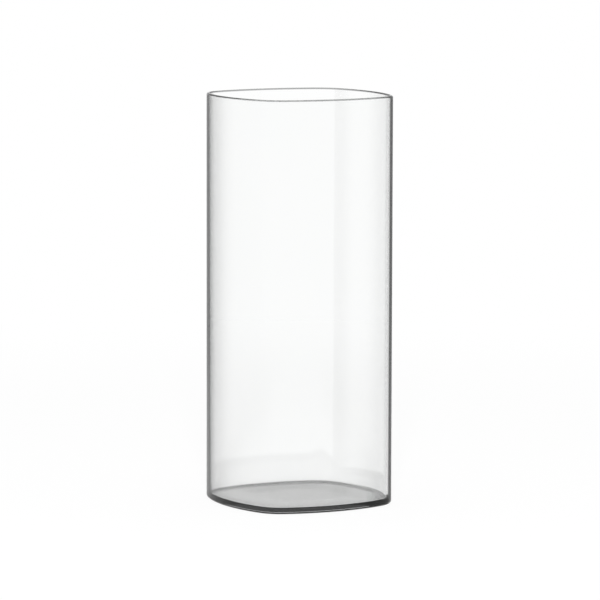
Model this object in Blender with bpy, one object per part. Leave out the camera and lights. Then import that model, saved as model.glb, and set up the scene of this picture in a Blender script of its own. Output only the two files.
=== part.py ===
"""Highball glass: a bowed-square wall sleeve seated on a shallow base dish.

Metres, +Z up. The origin is the middle of the underside, on the plane the glass stands on,
and the flats of the bowed square face along X and Y.
"""
import math

import bmesh
import bpy

# Outline of the glass seen from above: four bowed sides met by round corners
HEIGHT = 0.140
ACROSS_FLATS = 0.0583
SIDE_RADIUS = 0.054
CORNER_RADIUS = 0.0115

# Wall: thin at the fire-polished rim, a little thicker where it meets the base
RIM_THICKNESS = 0.0012
WALL_THICKNESS = 0.0016

# Base dish: a thin floor with a tight heel outside and a small fillet inside
FLOOR_THICKNESS = 0.0020
FLOOR_FILLET = 0.0005
HEEL_RADIUS = 0.0011
SEAT_RISE = 0.0005

# Underside: a flat standing ring round a very shallow push-up
STANDING_RING = 0.0045
PUSH_UP = 0.0001
PUSH_UP_RUN = 0.014

# Facets of each round stretch, and the edge angle from which an edge is left sharp
SIDE_STEPS = 18
CORNER_STEPS = 10
ROUND_STEPS = 8
SHARP_DEGREES = 35

HALF_WIDTH = ACROSS_FLATS / 2
SEAT_HEIGHT = FLOOR_THICKNESS + FLOOR_FILLET + SEAT_RISE

GLASS_COLOUR = (0.95, 0.97, 0.96, 1.0)
GLASS_ROUGHNESS = 0.02
GLASS_IOR = 1.5


def clear_scene():
    for item in list(bpy.data.objects):
        bpy.data.objects.remove(item, do_unlink=True)


def glass_material(name):
    material = bpy.data.materials.new(name)
    material.use_nodes = True
    shader = material.node_tree.nodes["Principled BSDF"]
    shader.inputs["Base Color"].default_value = GLASS_COLOUR
    shader.inputs["Roughness"].default_value = GLASS_ROUGHNESS
    shader.inputs["Metallic"].default_value = 0.0
    shader.inputs["IOR"].default_value = GLASS_IOR
    shader.inputs["Transmission Weight"].default_value = 1.0
    return material


def arc(centre, radius, start, end, steps):
    """Points on an arc from one angle to another, both ends included."""
    angles = [start + (end - start) * step / steps for step in range(steps + 1)]
    return [(centre[0] + radius * math.cos(a), centre[1] + radius * math.sin(a)) for a in angles]


def bowed_square(inset):
    """The outline moved in by inset. Side and corner arcs keep their centres, so walls stay parallel."""
    side_centre = HALF_WIDTH - SIDE_RADIUS
    reach = SIDE_RADIUS - CORNER_RADIUS
    corner_centre = (side_centre + math.sqrt(2 * reach ** 2 - side_centre ** 2)) / 2
    turn = math.atan2(corner_centre, corner_centre - side_centre)
    side = arc((side_centre, 0), SIDE_RADIUS - inset, -turn, turn, SIDE_STEPS)
    corner = arc((corner_centre, corner_centre), CORNER_RADIUS - inset,
                 turn, math.pi / 2 - turn, CORNER_STEPS)
    quarter = side[:-1] + corner[:-1]
    points = []
    for cos, sin in ((1, 0), (0, 1), (-1, 0), (0, -1)):
        points += [(x * cos - y * sin, x * sin + y * cos) for x, y in quarter]
    return points


def section(inset, height):
    """One level of a sweep: the outline moved in by inset, at a height."""
    return [(x, y, height) for x, y in bowed_square(inset)]


def shrunk(loop, share, height):
    """A copy of a level drawn towards the middle axis."""
    return [(x * share, y * share, height) for x, y, _ in loop]


def lofted(name, sections, closed):
    """A solid lofted through its levels. Closed joins the last to the first, open caps both ends."""
    mesh = bmesh.new()
    levels = [[mesh.verts.new(point) for point in points] for points in sections]
    above = levels[1:] + levels[:1] if closed else levels[1:]
    for lower, upper in zip(levels, above):
        for index in range(len(lower)):
            mesh.faces.new((lower[index - 1], lower[index], upper[index], upper[index - 1]))
    if not closed:
        caps = [mesh.faces.new(levels[0]), mesh.faces.new(levels[-1])]
        bmesh.ops.poke(mesh, faces=caps)
    bmesh.ops.recalc_face_normals(mesh, faces=mesh.faces)
    data = bpy.data.meshes.new(name)
    mesh.to_mesh(data)
    mesh.free()
    data.shade_smooth()
    data.set_sharp_from_angle(angle=math.radians(SHARP_DEGREES))
    return bpy.data.objects.new(name, data)


def base_dish():
    """Floor, inner fillet, seat for the wall, round heel, standing ring and push-up, in that order."""
    fillet_inset = WALL_THICKNESS + FLOOR_FILLET
    fillet = arc((fillet_inset, FLOOR_THICKNESS + FLOOR_FILLET), FLOOR_FILLET,
                 -math.pi / 2, -math.pi, ROUND_STEPS)
    heel = arc((HEEL_RADIUS, HEEL_RADIUS), HEEL_RADIUS, math.pi, 3 * math.pi / 2, ROUND_STEPS)
    profile = fillet + [(WALL_THICKNESS, SEAT_HEIGHT), (0, SEAT_HEIGHT)] + heel
    ring_inset = HEEL_RADIUS + STANDING_RING
    sections = [section(inset, height) for inset, height in profile]
    ring = section(ring_inset, 0)
    sections.append(ring)
    for step in range(1, ROUND_STEPS + 1):
        along = step / ROUND_STEPS
        share = 1 - along * PUSH_UP_RUN / (HALF_WIDTH - ring_inset)
        rise = PUSH_UP * (1 - math.cos(math.pi * along)) / 2
        sections.append(shrunk(ring, share, rise))
    return lofted("base", sections, closed=False)


def wall_sleeve():
    """Outer face, full-round rim and inner face, standing on the base's seat at its own origin."""
    rim_radius = RIM_THICKNESS / 2
    top = HEIGHT - SEAT_HEIGHT
    rim = arc((rim_radius, top - rim_radius), rim_radius, math.pi, 0, ROUND_STEPS)
    profile = [(0, 0)] + rim + [(WALL_THICKNESS, 0)]
    sleeve = lofted("wall", [section(inset, height) for inset, height in profile], closed=True)
    sleeve.location.z = SEAT_HEIGHT
    return sleeve


def main():
    clear_scene()
    collection = bpy.data.collections.new("highball_glass")
    bpy.context.scene.collection.children.link(collection)
    centre = bpy.data.objects.new("highball_glass_centre", None)
    collection.objects.link(centre)
    for piece in (base_dish(), wall_sleeve()):
        piece.parent = centre
        piece.data.materials.append(glass_material(piece.name + "_glass"))
        collection.objects.link(piece)


main()
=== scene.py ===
"""Clear bowed-square highball glass on a white table, as an add-on that runs as a script.

Metres, +Z up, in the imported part's own frame: the origin is the middle of the underside.
"""
import math

import bmesh
import bpy
from bpy.props import FloatProperty, FloatVectorProperty, IntProperty, PointerProperty
from mathutils import Matrix, Vector


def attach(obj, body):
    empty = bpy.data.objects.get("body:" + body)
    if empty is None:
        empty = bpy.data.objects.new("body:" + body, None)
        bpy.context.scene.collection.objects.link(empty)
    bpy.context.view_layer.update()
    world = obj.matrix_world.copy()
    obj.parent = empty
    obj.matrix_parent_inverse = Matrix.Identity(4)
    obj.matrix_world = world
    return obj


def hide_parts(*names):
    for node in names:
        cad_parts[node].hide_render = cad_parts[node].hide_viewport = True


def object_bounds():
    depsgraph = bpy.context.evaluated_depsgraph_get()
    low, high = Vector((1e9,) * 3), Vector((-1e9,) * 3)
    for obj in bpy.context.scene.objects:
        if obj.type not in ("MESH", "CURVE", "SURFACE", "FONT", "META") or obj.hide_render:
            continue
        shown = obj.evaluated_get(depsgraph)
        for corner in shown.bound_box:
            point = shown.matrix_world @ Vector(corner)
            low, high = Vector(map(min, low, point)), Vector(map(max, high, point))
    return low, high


bl_info = {
    "name": "Highball Glass",
    "version": (1, 0, 0),
    "blender": (4, 5, 0),
    "location": "3D View > Sidebar > Highball",
    "description": "Models a clear bowed-square highball glass and the white table it stands on",
    "category": "Add Mesh",
}

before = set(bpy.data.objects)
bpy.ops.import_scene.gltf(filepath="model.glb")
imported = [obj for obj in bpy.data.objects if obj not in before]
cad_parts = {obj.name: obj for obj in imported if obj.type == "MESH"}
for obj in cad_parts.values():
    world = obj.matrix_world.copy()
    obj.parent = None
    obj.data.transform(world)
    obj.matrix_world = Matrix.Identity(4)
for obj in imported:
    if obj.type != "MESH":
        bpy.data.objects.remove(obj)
CAD_LOW, CAD_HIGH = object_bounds()

# Shaping: cosine and sine of each quarter turn, how near counts as the same place, the strength of one
# smoothing pass, the profile of a circular bevel, the share of the rim's thickness that rounds each of its
# edges, and the floor's edge band as a share of its fillet
QUARTERS = ((1, 0), (0, 1), (-1, 0), (0, -1))
SAME_PLACE = 1e-6
SMOOTHING_FACTOR = 0.5
CIRCULAR_PROFILE = 0.5
RIM_ROUND = 0.48
FLOOR_BAND = 0.25

# A Mix node's sockets for colours, which share their names with its sockets for numbers
MIX_FACTOR = 0
MIX_FIRST = 6
MIX_SECOND = 7
MIX_RESULT = 2

# How far a face turns from a ray, from 0 square on to 1 along it: where the painted dark edge shade on light
# led along a wall begins and is full, and where a wall begins to let a lamp's light through and lets all of
# it through
EDGE_SHADE_FACING = (0.16, 0.21)
SHADOW_FACING = (0.75, 0.35)
SURFACES_PER_WALL = 2

# Depths below the top at which the round rim's painted grey shade, standing in for light it bends away,
# begins and is full
RIM_SHADE_BAND = (0.0006, 0.0004)

# Heights at which the heel's painted dark shade and the standing ring's wear are gone and full, the noise at
# which the wear's grain begins and is full, and the detail of the drawn surface's waves
HEEL_SHADE_BAND = (0.004, 0.003)
RING_BAND = (0.0003, 0.0001)
SCUFF_GRAIN = (0.5, 0.65)
WAVE_DETAIL = 1

# Table, room, lamps and camera: distances from the middle at which the table's shadow is gone and has its
# full share, upward slopes at which the room is white and has the ceiling's tone, and the sensor in mm
TABLE_RADIUS = 8
TABLE_SIDES = 128
TABLE_DROP = 0.0002
SHADOW_REACH = (0.5, 0.2)
CEILING_SLOPE = (0, 0.2)
AMBIENT_STRENGTH = 0.5
OVERHEAD_PLACE = (0, 0, 1.5)
OVERHEAD_SIZE = 1.2
OVERHEAD_POWER = 5
FRONT_PLACE = (-0.75, -1.40, 0.42)
FRONT_SIZE = 0.2
FRONT_POWER = 45
SENSOR_WIDTH = 36


# Properties

class GlassSizes(bpy.types.PropertyGroup):
    """Sizes of the glass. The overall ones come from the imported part."""
    height: FloatProperty(
        name="Height", description="From the table to the top of the rim",
        default=CAD_HIGH.z - CAD_LOW.z, unit="LENGTH")
    across_flats: FloatProperty(
        name="Across Flats", description="Width between opposite bowed sides",
        default=CAD_HIGH.x - CAD_LOW.x, unit="LENGTH")
    side_radius: FloatProperty(
        name="Side Radius", description="Radius of each bowed side seen from above, before softening",
        default=0.057, unit="LENGTH")
    corner_radius: FloatProperty(
        name="Corner Radius", description="Radius of each round corner seen from above, before softening",
        default=0.0088, unit="LENGTH")
    softening: IntProperty(
        name="Softening", description="Smoothing passes that blend the sides into the corners", default=60)
    rim_thickness: FloatProperty(
        name="Rim Thickness", description="Wall thickness at the fire-polished rim",
        default=0.0012, unit="LENGTH")
    wall_thickness: FloatProperty(
        name="Wall Thickness", description="Wall thickness where the wall meets the floor",
        default=0.0016, unit="LENGTH")
    floor_thickness: FloatProperty(
        name="Floor Thickness", description="Height of the inner floor above the table",
        default=0.0020, unit="LENGTH")
    floor_fillet: FloatProperty(
        name="Floor Fillet", description="Round between the inner wall and the inner floor",
        default=0.0005, unit="LENGTH")
    heel_radius: FloatProperty(
        name="Heel Radius", description="Round between the outer wall and the underside",
        default=0.0011, unit="LENGTH")
    standing_ring: FloatProperty(
        name="Standing Ring", description="Width of the flat ring that the glass stands on",
        default=0.0045, unit="LENGTH")
    push_up: FloatProperty(
        name="Push-up", description="Rise of the underside inside the standing ring",
        default=0.00007, unit="LENGTH")
    push_up_run: FloatProperty(
        name="Push-up Run", description="Distance over which the underside rises",
        default=0.014, unit="LENGTH")
    side_steps: IntProperty(name="Side Steps", description="Facets along each bowed side", default=68)
    corner_steps: IntProperty(name="Corner Steps", description="Facets round each corner", default=14)
    round_steps: IntProperty(name="Round Steps", description="Facets across each round edge", default=10)


class GlassFinish(bpy.types.PropertyGroup):
    """Finish of the clear glass."""
    tint: FloatVectorProperty(
        name="Tint", description="Colour of the clear glass",
        default=(0.996, 0.998, 0.997, 1.0), size=4, subtype="COLOR")
    # Painted shade: near-black colour given to light led along inside a wall, which paints the dark edges and
    # heel
    painted_edge_shade: FloatVectorProperty(
        name="Edge Tint", description="Colour left to light that is led along inside a wall",
        default=(0.004, 0.0042, 0.0042, 1.0), size=4, subtype="COLOR")
    # Painted shade: grey on the round rim, standing in for light that the rim bends away
    painted_rim_shade: FloatVectorProperty(
        name="Rim Tint", description="Colour left to light that the round rim bends away",
        default=(0.2, 0.205, 0.203, 1.0), size=4, subtype="COLOR")
    ior: FloatProperty(name="IOR", description="Refractive index of soda-lime glass", default=1.5)
    deep_tint: FloatVectorProperty(
        name="Deep Tint", description="Colour of the glass where it is a little deeper",
        default=(0.988, 0.994, 0.991, 1.0), size=4, subtype="COLOR")
    wave_scale: FloatProperty(
        name="Wave Scale", description="Waves of the drawn surface per metre", default=40.0)
    wave_height: FloatProperty(
        name="Wave Height", description="Height of the waves", default=0.0001, unit="LENGTH")
    wave_strength: FloatProperty(
        name="Wave Strength", description="Share of the waves that shows", default=0.3)
    scuff: FloatProperty(name="Scuff", description="Roughness of the worn standing ring", default=0.12)
    scuff_scale: FloatProperty(
        name="Scuff Scale", description="Grains of the worn standing ring per metre", default=900.0)


class StageSetup(bpy.types.PropertyGroup):
    """Table, light and camera."""
    table_colour: FloatVectorProperty(
        name="Table", description="Colour of the white table",
        default=(0.9, 0.9, 0.9, 1.0), size=4, subtype="COLOR")
    shadow_share: FloatProperty(
        name="Shadow Share", description="Share of the real shadow in the table seen directly", default=0.1)
    glass_shadow_share: FloatProperty(
        name="Shadow Share in Glass", description="The same, for the table seen through or in glass",
        default=0.3)
    mirror_tone: FloatProperty(
        name="Mirror Tone", description="Brightness of the table in reflections off the glass", default=0.5)
    ceiling_tone: FloatProperty(
        name="Ceiling Tone", description="Brightness of the room above its white horizon", default=0.65)
    camera_distance: FloatProperty(
        name="Camera Distance", description="From the middle axis, along the table",
        default=1.5121, unit="LENGTH")
    camera_height: FloatProperty(
        name="Camera Height", description="Above the table", default=0.24694, unit="LENGTH")
    camera_azimuth: FloatProperty(
        name="Camera Azimuth", description="Turn of the camera about the middle axis",
        default=math.radians(-28.18), subtype="ANGLE")
    camera_tilt: FloatProperty(
        name="Camera Tilt", description="Angle that the camera looks down by",
        default=0.11699, subtype="ANGLE")
    camera_roll: FloatProperty(
        name="Camera Roll", description="Turn of the picture", default=0.0024, subtype="ANGLE")
    camera_lens: FloatProperty(
        name="Lens", description="Focal length on a 36 mm sensor, in millimetres", default=266.5)
    camera_shift: FloatProperty(
        name="Shift", description="Sideways shift as a share of the picture", default=0.0017)


# Shader building

class Value:
    """A shader socket that takes part in Python expressions, which add their Math nodes."""

    def __init__(self, bench, socket):
        self.bench = bench
        self.socket = socket

    def out(self, name):
        """Another output of the same node."""
        return Value(self.bench, self.socket.node.outputs[name])

    def math(self, operation, *inputs):
        """The result of a Math node."""
        return self.bench.add("ShaderNodeMath", {"operation": operation}, dict(enumerate(inputs)))

    def __add__(self, other):
        return self.math("ADD", self, other)

    def __sub__(self, other):
        return self.math("SUBTRACT", self, other)

    def __rsub__(self, other):
        return self.math("SUBTRACT", other, self)

    def __mul__(self, other):
        return self.math("MULTIPLY", self, other)

    def __gt__(self, other):
        return self.math("GREATER_THAN", self, other)

    def __lt__(self, other):
        return self.math("LESS_THAN", self, other)

    def __or__(self, other):
        return self.math("MAXIMUM", self, other)

    __radd__ = __add__
    __rmul__ = __mul__
    __ror__ = __or__

    def ramp(self, start, end, low=0.0, high=1.0):
        """Runs smoothly from low to high as this value goes from start to end."""
        return self.bench.add(
            "ShaderNodeMapRange", {"interpolation_type": "SMOOTHSTEP"},
            {"Value": self, "From Min": start, "From Max": end, "To Min": low, "To Max": high})

    def blend(self, first, second):
        """The colour that goes from first to second as this value goes from 0 to 1."""
        mix = self.bench.add("ShaderNodeMix", {"data_type": "RGBA"}, {
            MIX_FACTOR: self, MIX_FIRST: first, MIX_SECOND: second})
        return mix.out(MIX_RESULT)

    def axes(self):
        """The X, Y and Z of a vector."""
        split = self.bench.add("ShaderNodeSeparateXYZ", {}, {0: self})
        return split, split.out("Y"), split.out("Z")


class NodeBench:
    """One node tree, emptied, to which every node is added by one method."""

    def __init__(self, tree):
        self.tree = tree
        tree.nodes.clear()

    def add(self, kind, settings, inputs):
        """Adds a node, sets it up, fills its sockets and gives its first output, where it has one."""
        node = self.tree.nodes.new(kind)
        for name, setting in settings.items():
            setattr(node, name, setting)
        for name, value in inputs.items():
            if isinstance(value, Value):
                self.tree.links.new(value.socket, node.inputs[name])
            else:
                node.inputs[name].default_value = value
        return Value(self, node.outputs[0]) if node.outputs else None


class Rays:
    """Kinds of ray, each 1 for a ray of that kind and 0 for any other."""

    def __init__(self, bench):
        self.path = bench.add("ShaderNodeLightPath", {}, {})
        self.camera = self.path.out("Is Camera Ray")
        self.shadow = self.path.out("Is Shadow Ray")
        self.passed = self.path.out("Is Transmission Ray")

    def mirrored(self):
        """Rays that a surface mirrors. A sharply refracted ray counts as glossy too, so it is taken off."""
        return self.path.out("Is Glossy Ray") * (1 - self.passed)

    def shown(self):
        """Rays that show the stage: straight to the camera, mirrored by the glass or through it."""
        return self.camera | self.mirrored() | self.passed

    def led(self):
        """Rays mirrored on their way that are inside a wall, so have passed an odd number of surfaces."""
        surfaces = self.path.out("Transmission Depth")
        inside = surfaces.math("MODULO", surfaces, SURFACES_PER_WALL)
        return (self.path.out("Glossy Depth") > 0) * inside


def clear_glass_material(finish, sizes):
    """Clear glass with painted shade: light that is led along inside a wall is given a near-black colour,
    which paints dark bands along the edges and round the heel, and the round rim is painted grey where it
    bends light away."""
    material = bpy.data.materials.new("clear_glass")
    material.use_nodes = True
    bench = NodeBench(material.node_tree)
    rays = Rays(bench)
    place = bench.add("ShaderNodeTexCoord", {}, {}).out("Object")
    height = place.axes()[2]
    facing = bench.add("ShaderNodeLayerWeight", {}, {}).out("Facing")
    wave = bench.add("ShaderNodeTexNoise", {}, {
        "Vector": place, "Scale": finish.wave_scale, "Detail": WAVE_DETAIL})
    normal = bench.add("ShaderNodeBump", {}, {
        "Strength": finish.wave_strength, "Distance": finish.wave_height, "Height": wave})
    grain = bench.add("ShaderNodeTexNoise", {}, {"Vector": place, "Scale": finish.scuff_scale})
    worn = height.ramp(*RING_BAND) * grain.ramp(*SCUFF_GRAIN)
    # Painted shade: dark bands where light is led along a wall past a grazing face, and all round the heel
    edge_shade_mask = rays.led() * (facing.ramp(*EDGE_SHADE_FACING) | height.ramp(*HEEL_SHADE_BAND))
    # Painted shade: the round rim is greyed by height, standing in for light that it bends away
    rim = height.ramp(*(sizes.height - depth for depth in RIM_SHADE_BAND))
    clear = wave.blend(finish.tint, finish.deep_tint)
    colour = rim.blend(edge_shade_mask.blend(clear, finish.painted_edge_shade), finish.painted_rim_shade)
    opaque = 1 - rays.shadow * facing.ramp(*SHADOW_FACING)
    shader = bench.add("ShaderNodeBsdfPrincipled", {}, {
        "Base Color": colour, "Roughness": worn * finish.scuff, "Alpha": opaque, "Normal": normal,
        "IOR": finish.ior, "Transmission Weight": 1.0})
    bench.add("ShaderNodeOutputMaterial", {}, {"Surface": shader})
    return material


# Modelling by hand in edit mode

def choose(piece, kind, test):
    """Selects the faces or edges that pass a test, and nothing else."""
    bpy.ops.mesh.select_mode(type=kind)
    bpy.ops.mesh.select_all(action="DESELECT")
    mesh = bmesh.from_edit_mesh(piece.data)
    chosen = [item for item in (mesh.faces if kind == "FACE" else mesh.edges) if test(item)]
    if not chosen:
        raise RuntimeError(f"nothing to select on {piece.name}")
    for item in chosen:
        item.select_set(True)
    bmesh.update_edit_mesh(piece.data)


def at_height(item, height):
    """True for a face or edge that lies flat at a height."""
    return all(abs(vertex.co.z - height) < SAME_PLACE for vertex in item.verts)


def is_edge_of_flat(edge, height):
    """True for the outer edge of a flat face at a height."""
    return at_height(edge, height) and any(not at_height(face, height) for face in edge.link_faces)


def grow(height, share=1.0):
    """Extrudes the selection by a height, then draws it in to a share of its width."""
    bpy.ops.mesh.extrude_region_move(TRANSFORM_OT_translate={"value": (0, 0, height)})
    bpy.ops.transform.resize(value=(share, share, 1), center_override=(0, 0, 0))


def draw_bowed_square(piece, sizes):
    """Spins one point round the four bowed sides and four round corners, softens where they meet and
    brings the outline back to its width."""
    half = sizes.across_flats / 2
    side_centre = half - sizes.side_radius
    reach = sizes.side_radius - sizes.corner_radius
    corner_centre = (side_centre + math.sqrt(2 * reach ** 2 - side_centre ** 2)) / 2
    turn = math.atan2(corner_centre, corner_centre - side_centre)
    bpy.ops.mesh.merge(type="CENTER")
    bpy.ops.transform.translate(value=(
        side_centre + sizes.side_radius * math.cos(turn), -sizes.side_radius * math.sin(turn), 0))
    for cos, sin in QUARTERS:
        bpy.ops.mesh.spin(
            steps=sizes.side_steps, angle=-2 * turn, axis=(0, 0, 1),
            center=(side_centre * cos, side_centre * sin, 0))
        bpy.ops.mesh.spin(
            steps=sizes.corner_steps, angle=2 * turn - math.pi / 2, axis=(0, 0, 1),
            center=(corner_centre * (cos - sin), corner_centre * (sin + cos), 0))
    bpy.ops.mesh.select_all(action="SELECT")
    bpy.ops.mesh.remove_doubles(threshold=SAME_PLACE)
    bpy.ops.mesh.vertices_smooth(factor=SMOOTHING_FACTOR, repeat=sizes.softening)
    drawn = max(vertex.co.x for vertex in bmesh.from_edit_mesh(piece.data).verts)
    bpy.ops.transform.resize(value=(half / drawn, half / drawn, 1), center_override=(0, 0, 0))


class HIGHBALL_OT_glass(bpy.types.Operator):
    """Models the glass as one continuous piece and gives it its finish"""
    bl_idname = "highball.glass"
    bl_label = "Highball Glass"

    def execute(self, context):
        sizes = context.scene.highball_sizes
        bpy.ops.object.select_all(action="DESELECT")
        bpy.ops.mesh.primitive_plane_add(size=sizes.across_flats)
        glass = context.active_object
        glass.name = glass.data.name = "highball_glass"
        bpy.ops.object.mode_set(mode="EDIT")
        draw_bowed_square(glass, sizes)
        bpy.ops.mesh.edge_face_add()
        grow(sizes.height)
        self.hollow(glass, sizes)
        self.round_edges(glass, sizes)
        self.shape_underside(glass, sizes)
        self.shape_floor(glass, sizes)
        bpy.ops.mesh.select_all(action="SELECT")
        bpy.ops.mesh.normals_make_consistent(inside=False)
        bpy.ops.object.mode_set(mode="OBJECT")
        bpy.ops.object.shade_smooth()
        bpy.ops.object.modifier_add(type="WEIGHTED_NORMAL")
        bpy.ops.object.modifier_apply(modifier=glass.modifiers[-1].name)
        glass.data.materials.append(clear_glass_material(context.scene.highball_finish, sizes))
        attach(glass, "root")
        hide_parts("wall", "base")
        return {"FINISHED"}

    def hollow(self, glass, sizes):
        """Sinks the inside from the rim down to the floor, thicker walled towards the floor."""
        choose(glass, "FACE", lambda face: at_height(face, sizes.height))
        bpy.ops.mesh.inset(thickness=sizes.rim_thickness)
        half = sizes.across_flats / 2
        grow(sizes.floor_thickness - sizes.height,
             (half - sizes.wall_thickness) / (half - sizes.rim_thickness))

    def round_edges(self, glass, sizes):
        """Fire-polishes the rim and rounds the inner fillet and the heel."""
        rounds = (
            (sizes.height, sizes.rim_thickness * RIM_ROUND), (sizes.floor_thickness, sizes.floor_fillet),
            (0, sizes.heel_radius))
        for height, radius in rounds:
            choose(glass, "EDGE", lambda edge: is_edge_of_flat(edge, height))
            bpy.ops.mesh.bevel(
                offset=radius, segments=sizes.round_steps, profile=CIRCULAR_PROFILE, affect="EDGES",
                clamp_overlap=False)

    def shape_underside(self, glass, sizes):
        """Leaves the flat standing ring and lifts the underside within it."""
        choose(glass, "FACE", lambda face: at_height(face, 0))
        bpy.ops.mesh.inset(thickness=sizes.standing_ring)
        width = sizes.across_flats / 2 - sizes.heel_radius - sizes.standing_ring
        steps = sizes.round_steps
        for step in range(steps):
            rise = [sizes.push_up * (1 - math.cos(math.pi * (step + more) / steps)) / 2 for more in (0, 1)]
            left = [width - sizes.push_up_run * (step + more) / steps for more in (0, 1)]
            grow(rise[1] - rise[0], left[1] / left[0])
        bpy.ops.mesh.poke()

    def shape_floor(self, glass, sizes):
        """Gives the inner floor a narrow edge band, so that its shading stays flat."""
        choose(glass, "FACE", lambda face: at_height(face, sizes.floor_thickness))
        bpy.ops.mesh.inset(thickness=sizes.floor_fillet * FLOOR_BAND)
        bpy.ops.mesh.poke()


class HIGHBALL_OT_stage(bpy.types.Operator):
    """Sets the white table, the soft studio light and the camera"""
    bl_idname = "highball.stage"
    bl_label = "Stage"

    def execute(self, context):
        setup = context.scene.highball_stage
        self.lay_table(setup)
        self.light_studio(context, setup)
        self.place_camera(context, setup)
        context.scene.view_settings.view_transform = "Standard"
        return {"FINISHED"}

    def lay_table(self, setup):
        """A plain table, white where it is seen apart from a share of its shadow, and dimmer in mirrors."""
        bpy.ops.object.select_all(action="DESELECT")
        bpy.ops.mesh.primitive_circle_add(
            vertices=TABLE_SIDES, radius=TABLE_RADIUS, fill_type="NGON", location=(0, 0, -TABLE_DROP))
        table = bpy.context.active_object
        table.name = table.data.name = "table"
        bpy.ops.object.transform_apply(location=True, rotation=True, scale=True)
        material = bpy.data.materials.new("white_table")
        material.use_nodes = True
        bench = NodeBench(material.node_tree)
        rays = Rays(bench)
        x, y, _ = bench.add("ShaderNodeTexCoord", {}, {}).out("Object").axes()
        reach = x.math("SQRT", x * x + y * y)
        tone = rays.mirrored().ramp(0, 1, 1, setup.mirror_tone)
        white = bench.add("ShaderNodeEmission", {}, {"Color": tone, "Strength": 1.0})
        plain = bench.add("ShaderNodeBsdfDiffuse", {}, {"Color": setup.table_colour})
        share = rays.camera.ramp(0, 1, setup.glass_shadow_share, setup.shadow_share)
        seen = rays.shown() * (1 - share * reach.ramp(*SHADOW_REACH))
        mixed = bench.add("ShaderNodeMixShader", {}, {0: seen, 1: plain, 2: white})
        bench.add("ShaderNodeOutputMaterial", {}, {"Surface": mixed})
        table.data.materials.append(material)

    def light_studio(self, context, setup):
        """An even room, white to the camera and dimmer overhead in the glass, and two softboxes."""
        world = bpy.data.worlds.new("studio")
        context.scene.world = world
        world.use_nodes = True
        bench = NodeBench(world.node_tree)
        rays = Rays(bench)
        upward = bench.add("ShaderNodeTexCoord", {}, {}).axes()[2]
        tone = rays.camera | upward.ramp(*CEILING_SLOPE, 1, setup.ceiling_tone)
        ambient = bench.add("ShaderNodeBackground", {}, {"Color": (1, 1, 1, 1), "Strength": AMBIENT_STRENGTH})
        shown = bench.add("ShaderNodeBackground", {}, {"Color": tone, "Strength": 1.0})
        mixed = bench.add("ShaderNodeMixShader", {}, {0: rays.shown(), 1: ambient, 2: shown})
        bench.add("ShaderNodeOutputWorld", {}, {"Surface": mixed})
        self.hang_softbox(context, "overhead_softbox", OVERHEAD_PLACE, OVERHEAD_SIZE, OVERHEAD_POWER)
        self.hang_softbox(context, "front_softbox", FRONT_PLACE, FRONT_SIZE, FRONT_POWER)

    def hang_softbox(self, context, name, place, size, power):
        """A square lamp that faces the foot of the glass and isn't seen in the glass or through it."""
        bpy.ops.object.light_add(type="AREA", location=place)
        lamp = context.active_object
        lamp.name = lamp.data.name = name
        lamp.rotation_euler = Vector(place).to_track_quat("Z", "Y").to_euler()
        lamp.data.size = size
        lamp.data.energy = power
        lamp.visible_glossy = False
        lamp.visible_transmission = False

    def place_camera(self, context, setup):
        """A camera turned about the middle axis, which looks down a little."""
        azimuth = setup.camera_azimuth
        bpy.ops.object.camera_add()
        camera = context.active_object
        camera.name = "camera"
        camera.data.lens = setup.camera_lens
        camera.data.sensor_width = SENSOR_WIDTH
        camera.data.shift_x = setup.camera_shift
        place = Matrix.Translation((
            math.sin(azimuth) * setup.camera_distance, -math.cos(azimuth) * setup.camera_distance,
            setup.camera_height))
        camera.matrix_world = (
            place @ Matrix.Rotation(azimuth, 4, "Z")
            @ Matrix.Rotation(math.pi / 2 - setup.camera_tilt, 4, "X")
            @ Matrix.Rotation(setup.camera_roll, 4, "Z"))
        context.scene.camera = camera


class HIGHBALL_PT_panel(bpy.types.Panel):
    """Lists the glass, its sizes and its stage"""
    bl_label = "Highball Glass"
    bl_idname = "HIGHBALL_PT_panel"
    bl_space_type = "VIEW_3D"
    bl_region_type = "UI"
    bl_category = "Highball"

    def draw(self, context):
        layout = self.layout
        for operator in (HIGHBALL_OT_glass, HIGHBALL_OT_stage):
            layout.operator(operator.bl_idname)
        scene = context.scene
        for group in (scene.highball_sizes, scene.highball_finish, scene.highball_stage):
            column = layout.column()
            for name in group.__annotations__:
                column.prop(group, name)


CLASSES = (GlassSizes, GlassFinish, StageSetup, HIGHBALL_OT_glass, HIGHBALL_OT_stage, HIGHBALL_PT_panel)


def register():
    for item in CLASSES:
        bpy.utils.register_class(item)
    bpy.types.Scene.highball_sizes = PointerProperty(type=GlassSizes)
    bpy.types.Scene.highball_finish = PointerProperty(type=GlassFinish)
    bpy.types.Scene.highball_stage = PointerProperty(type=StageSetup)


def unregister():
    del bpy.types.Scene.highball_stage
    del bpy.types.Scene.highball_finish
    del bpy.types.Scene.highball_sizes
    for item in reversed(CLASSES):
        bpy.utils.unregister_class(item)


def main():
    register()
    bpy.ops.highball.glass()
    bpy.ops.highball.stage()


if __name__ == "__main__":
    main()
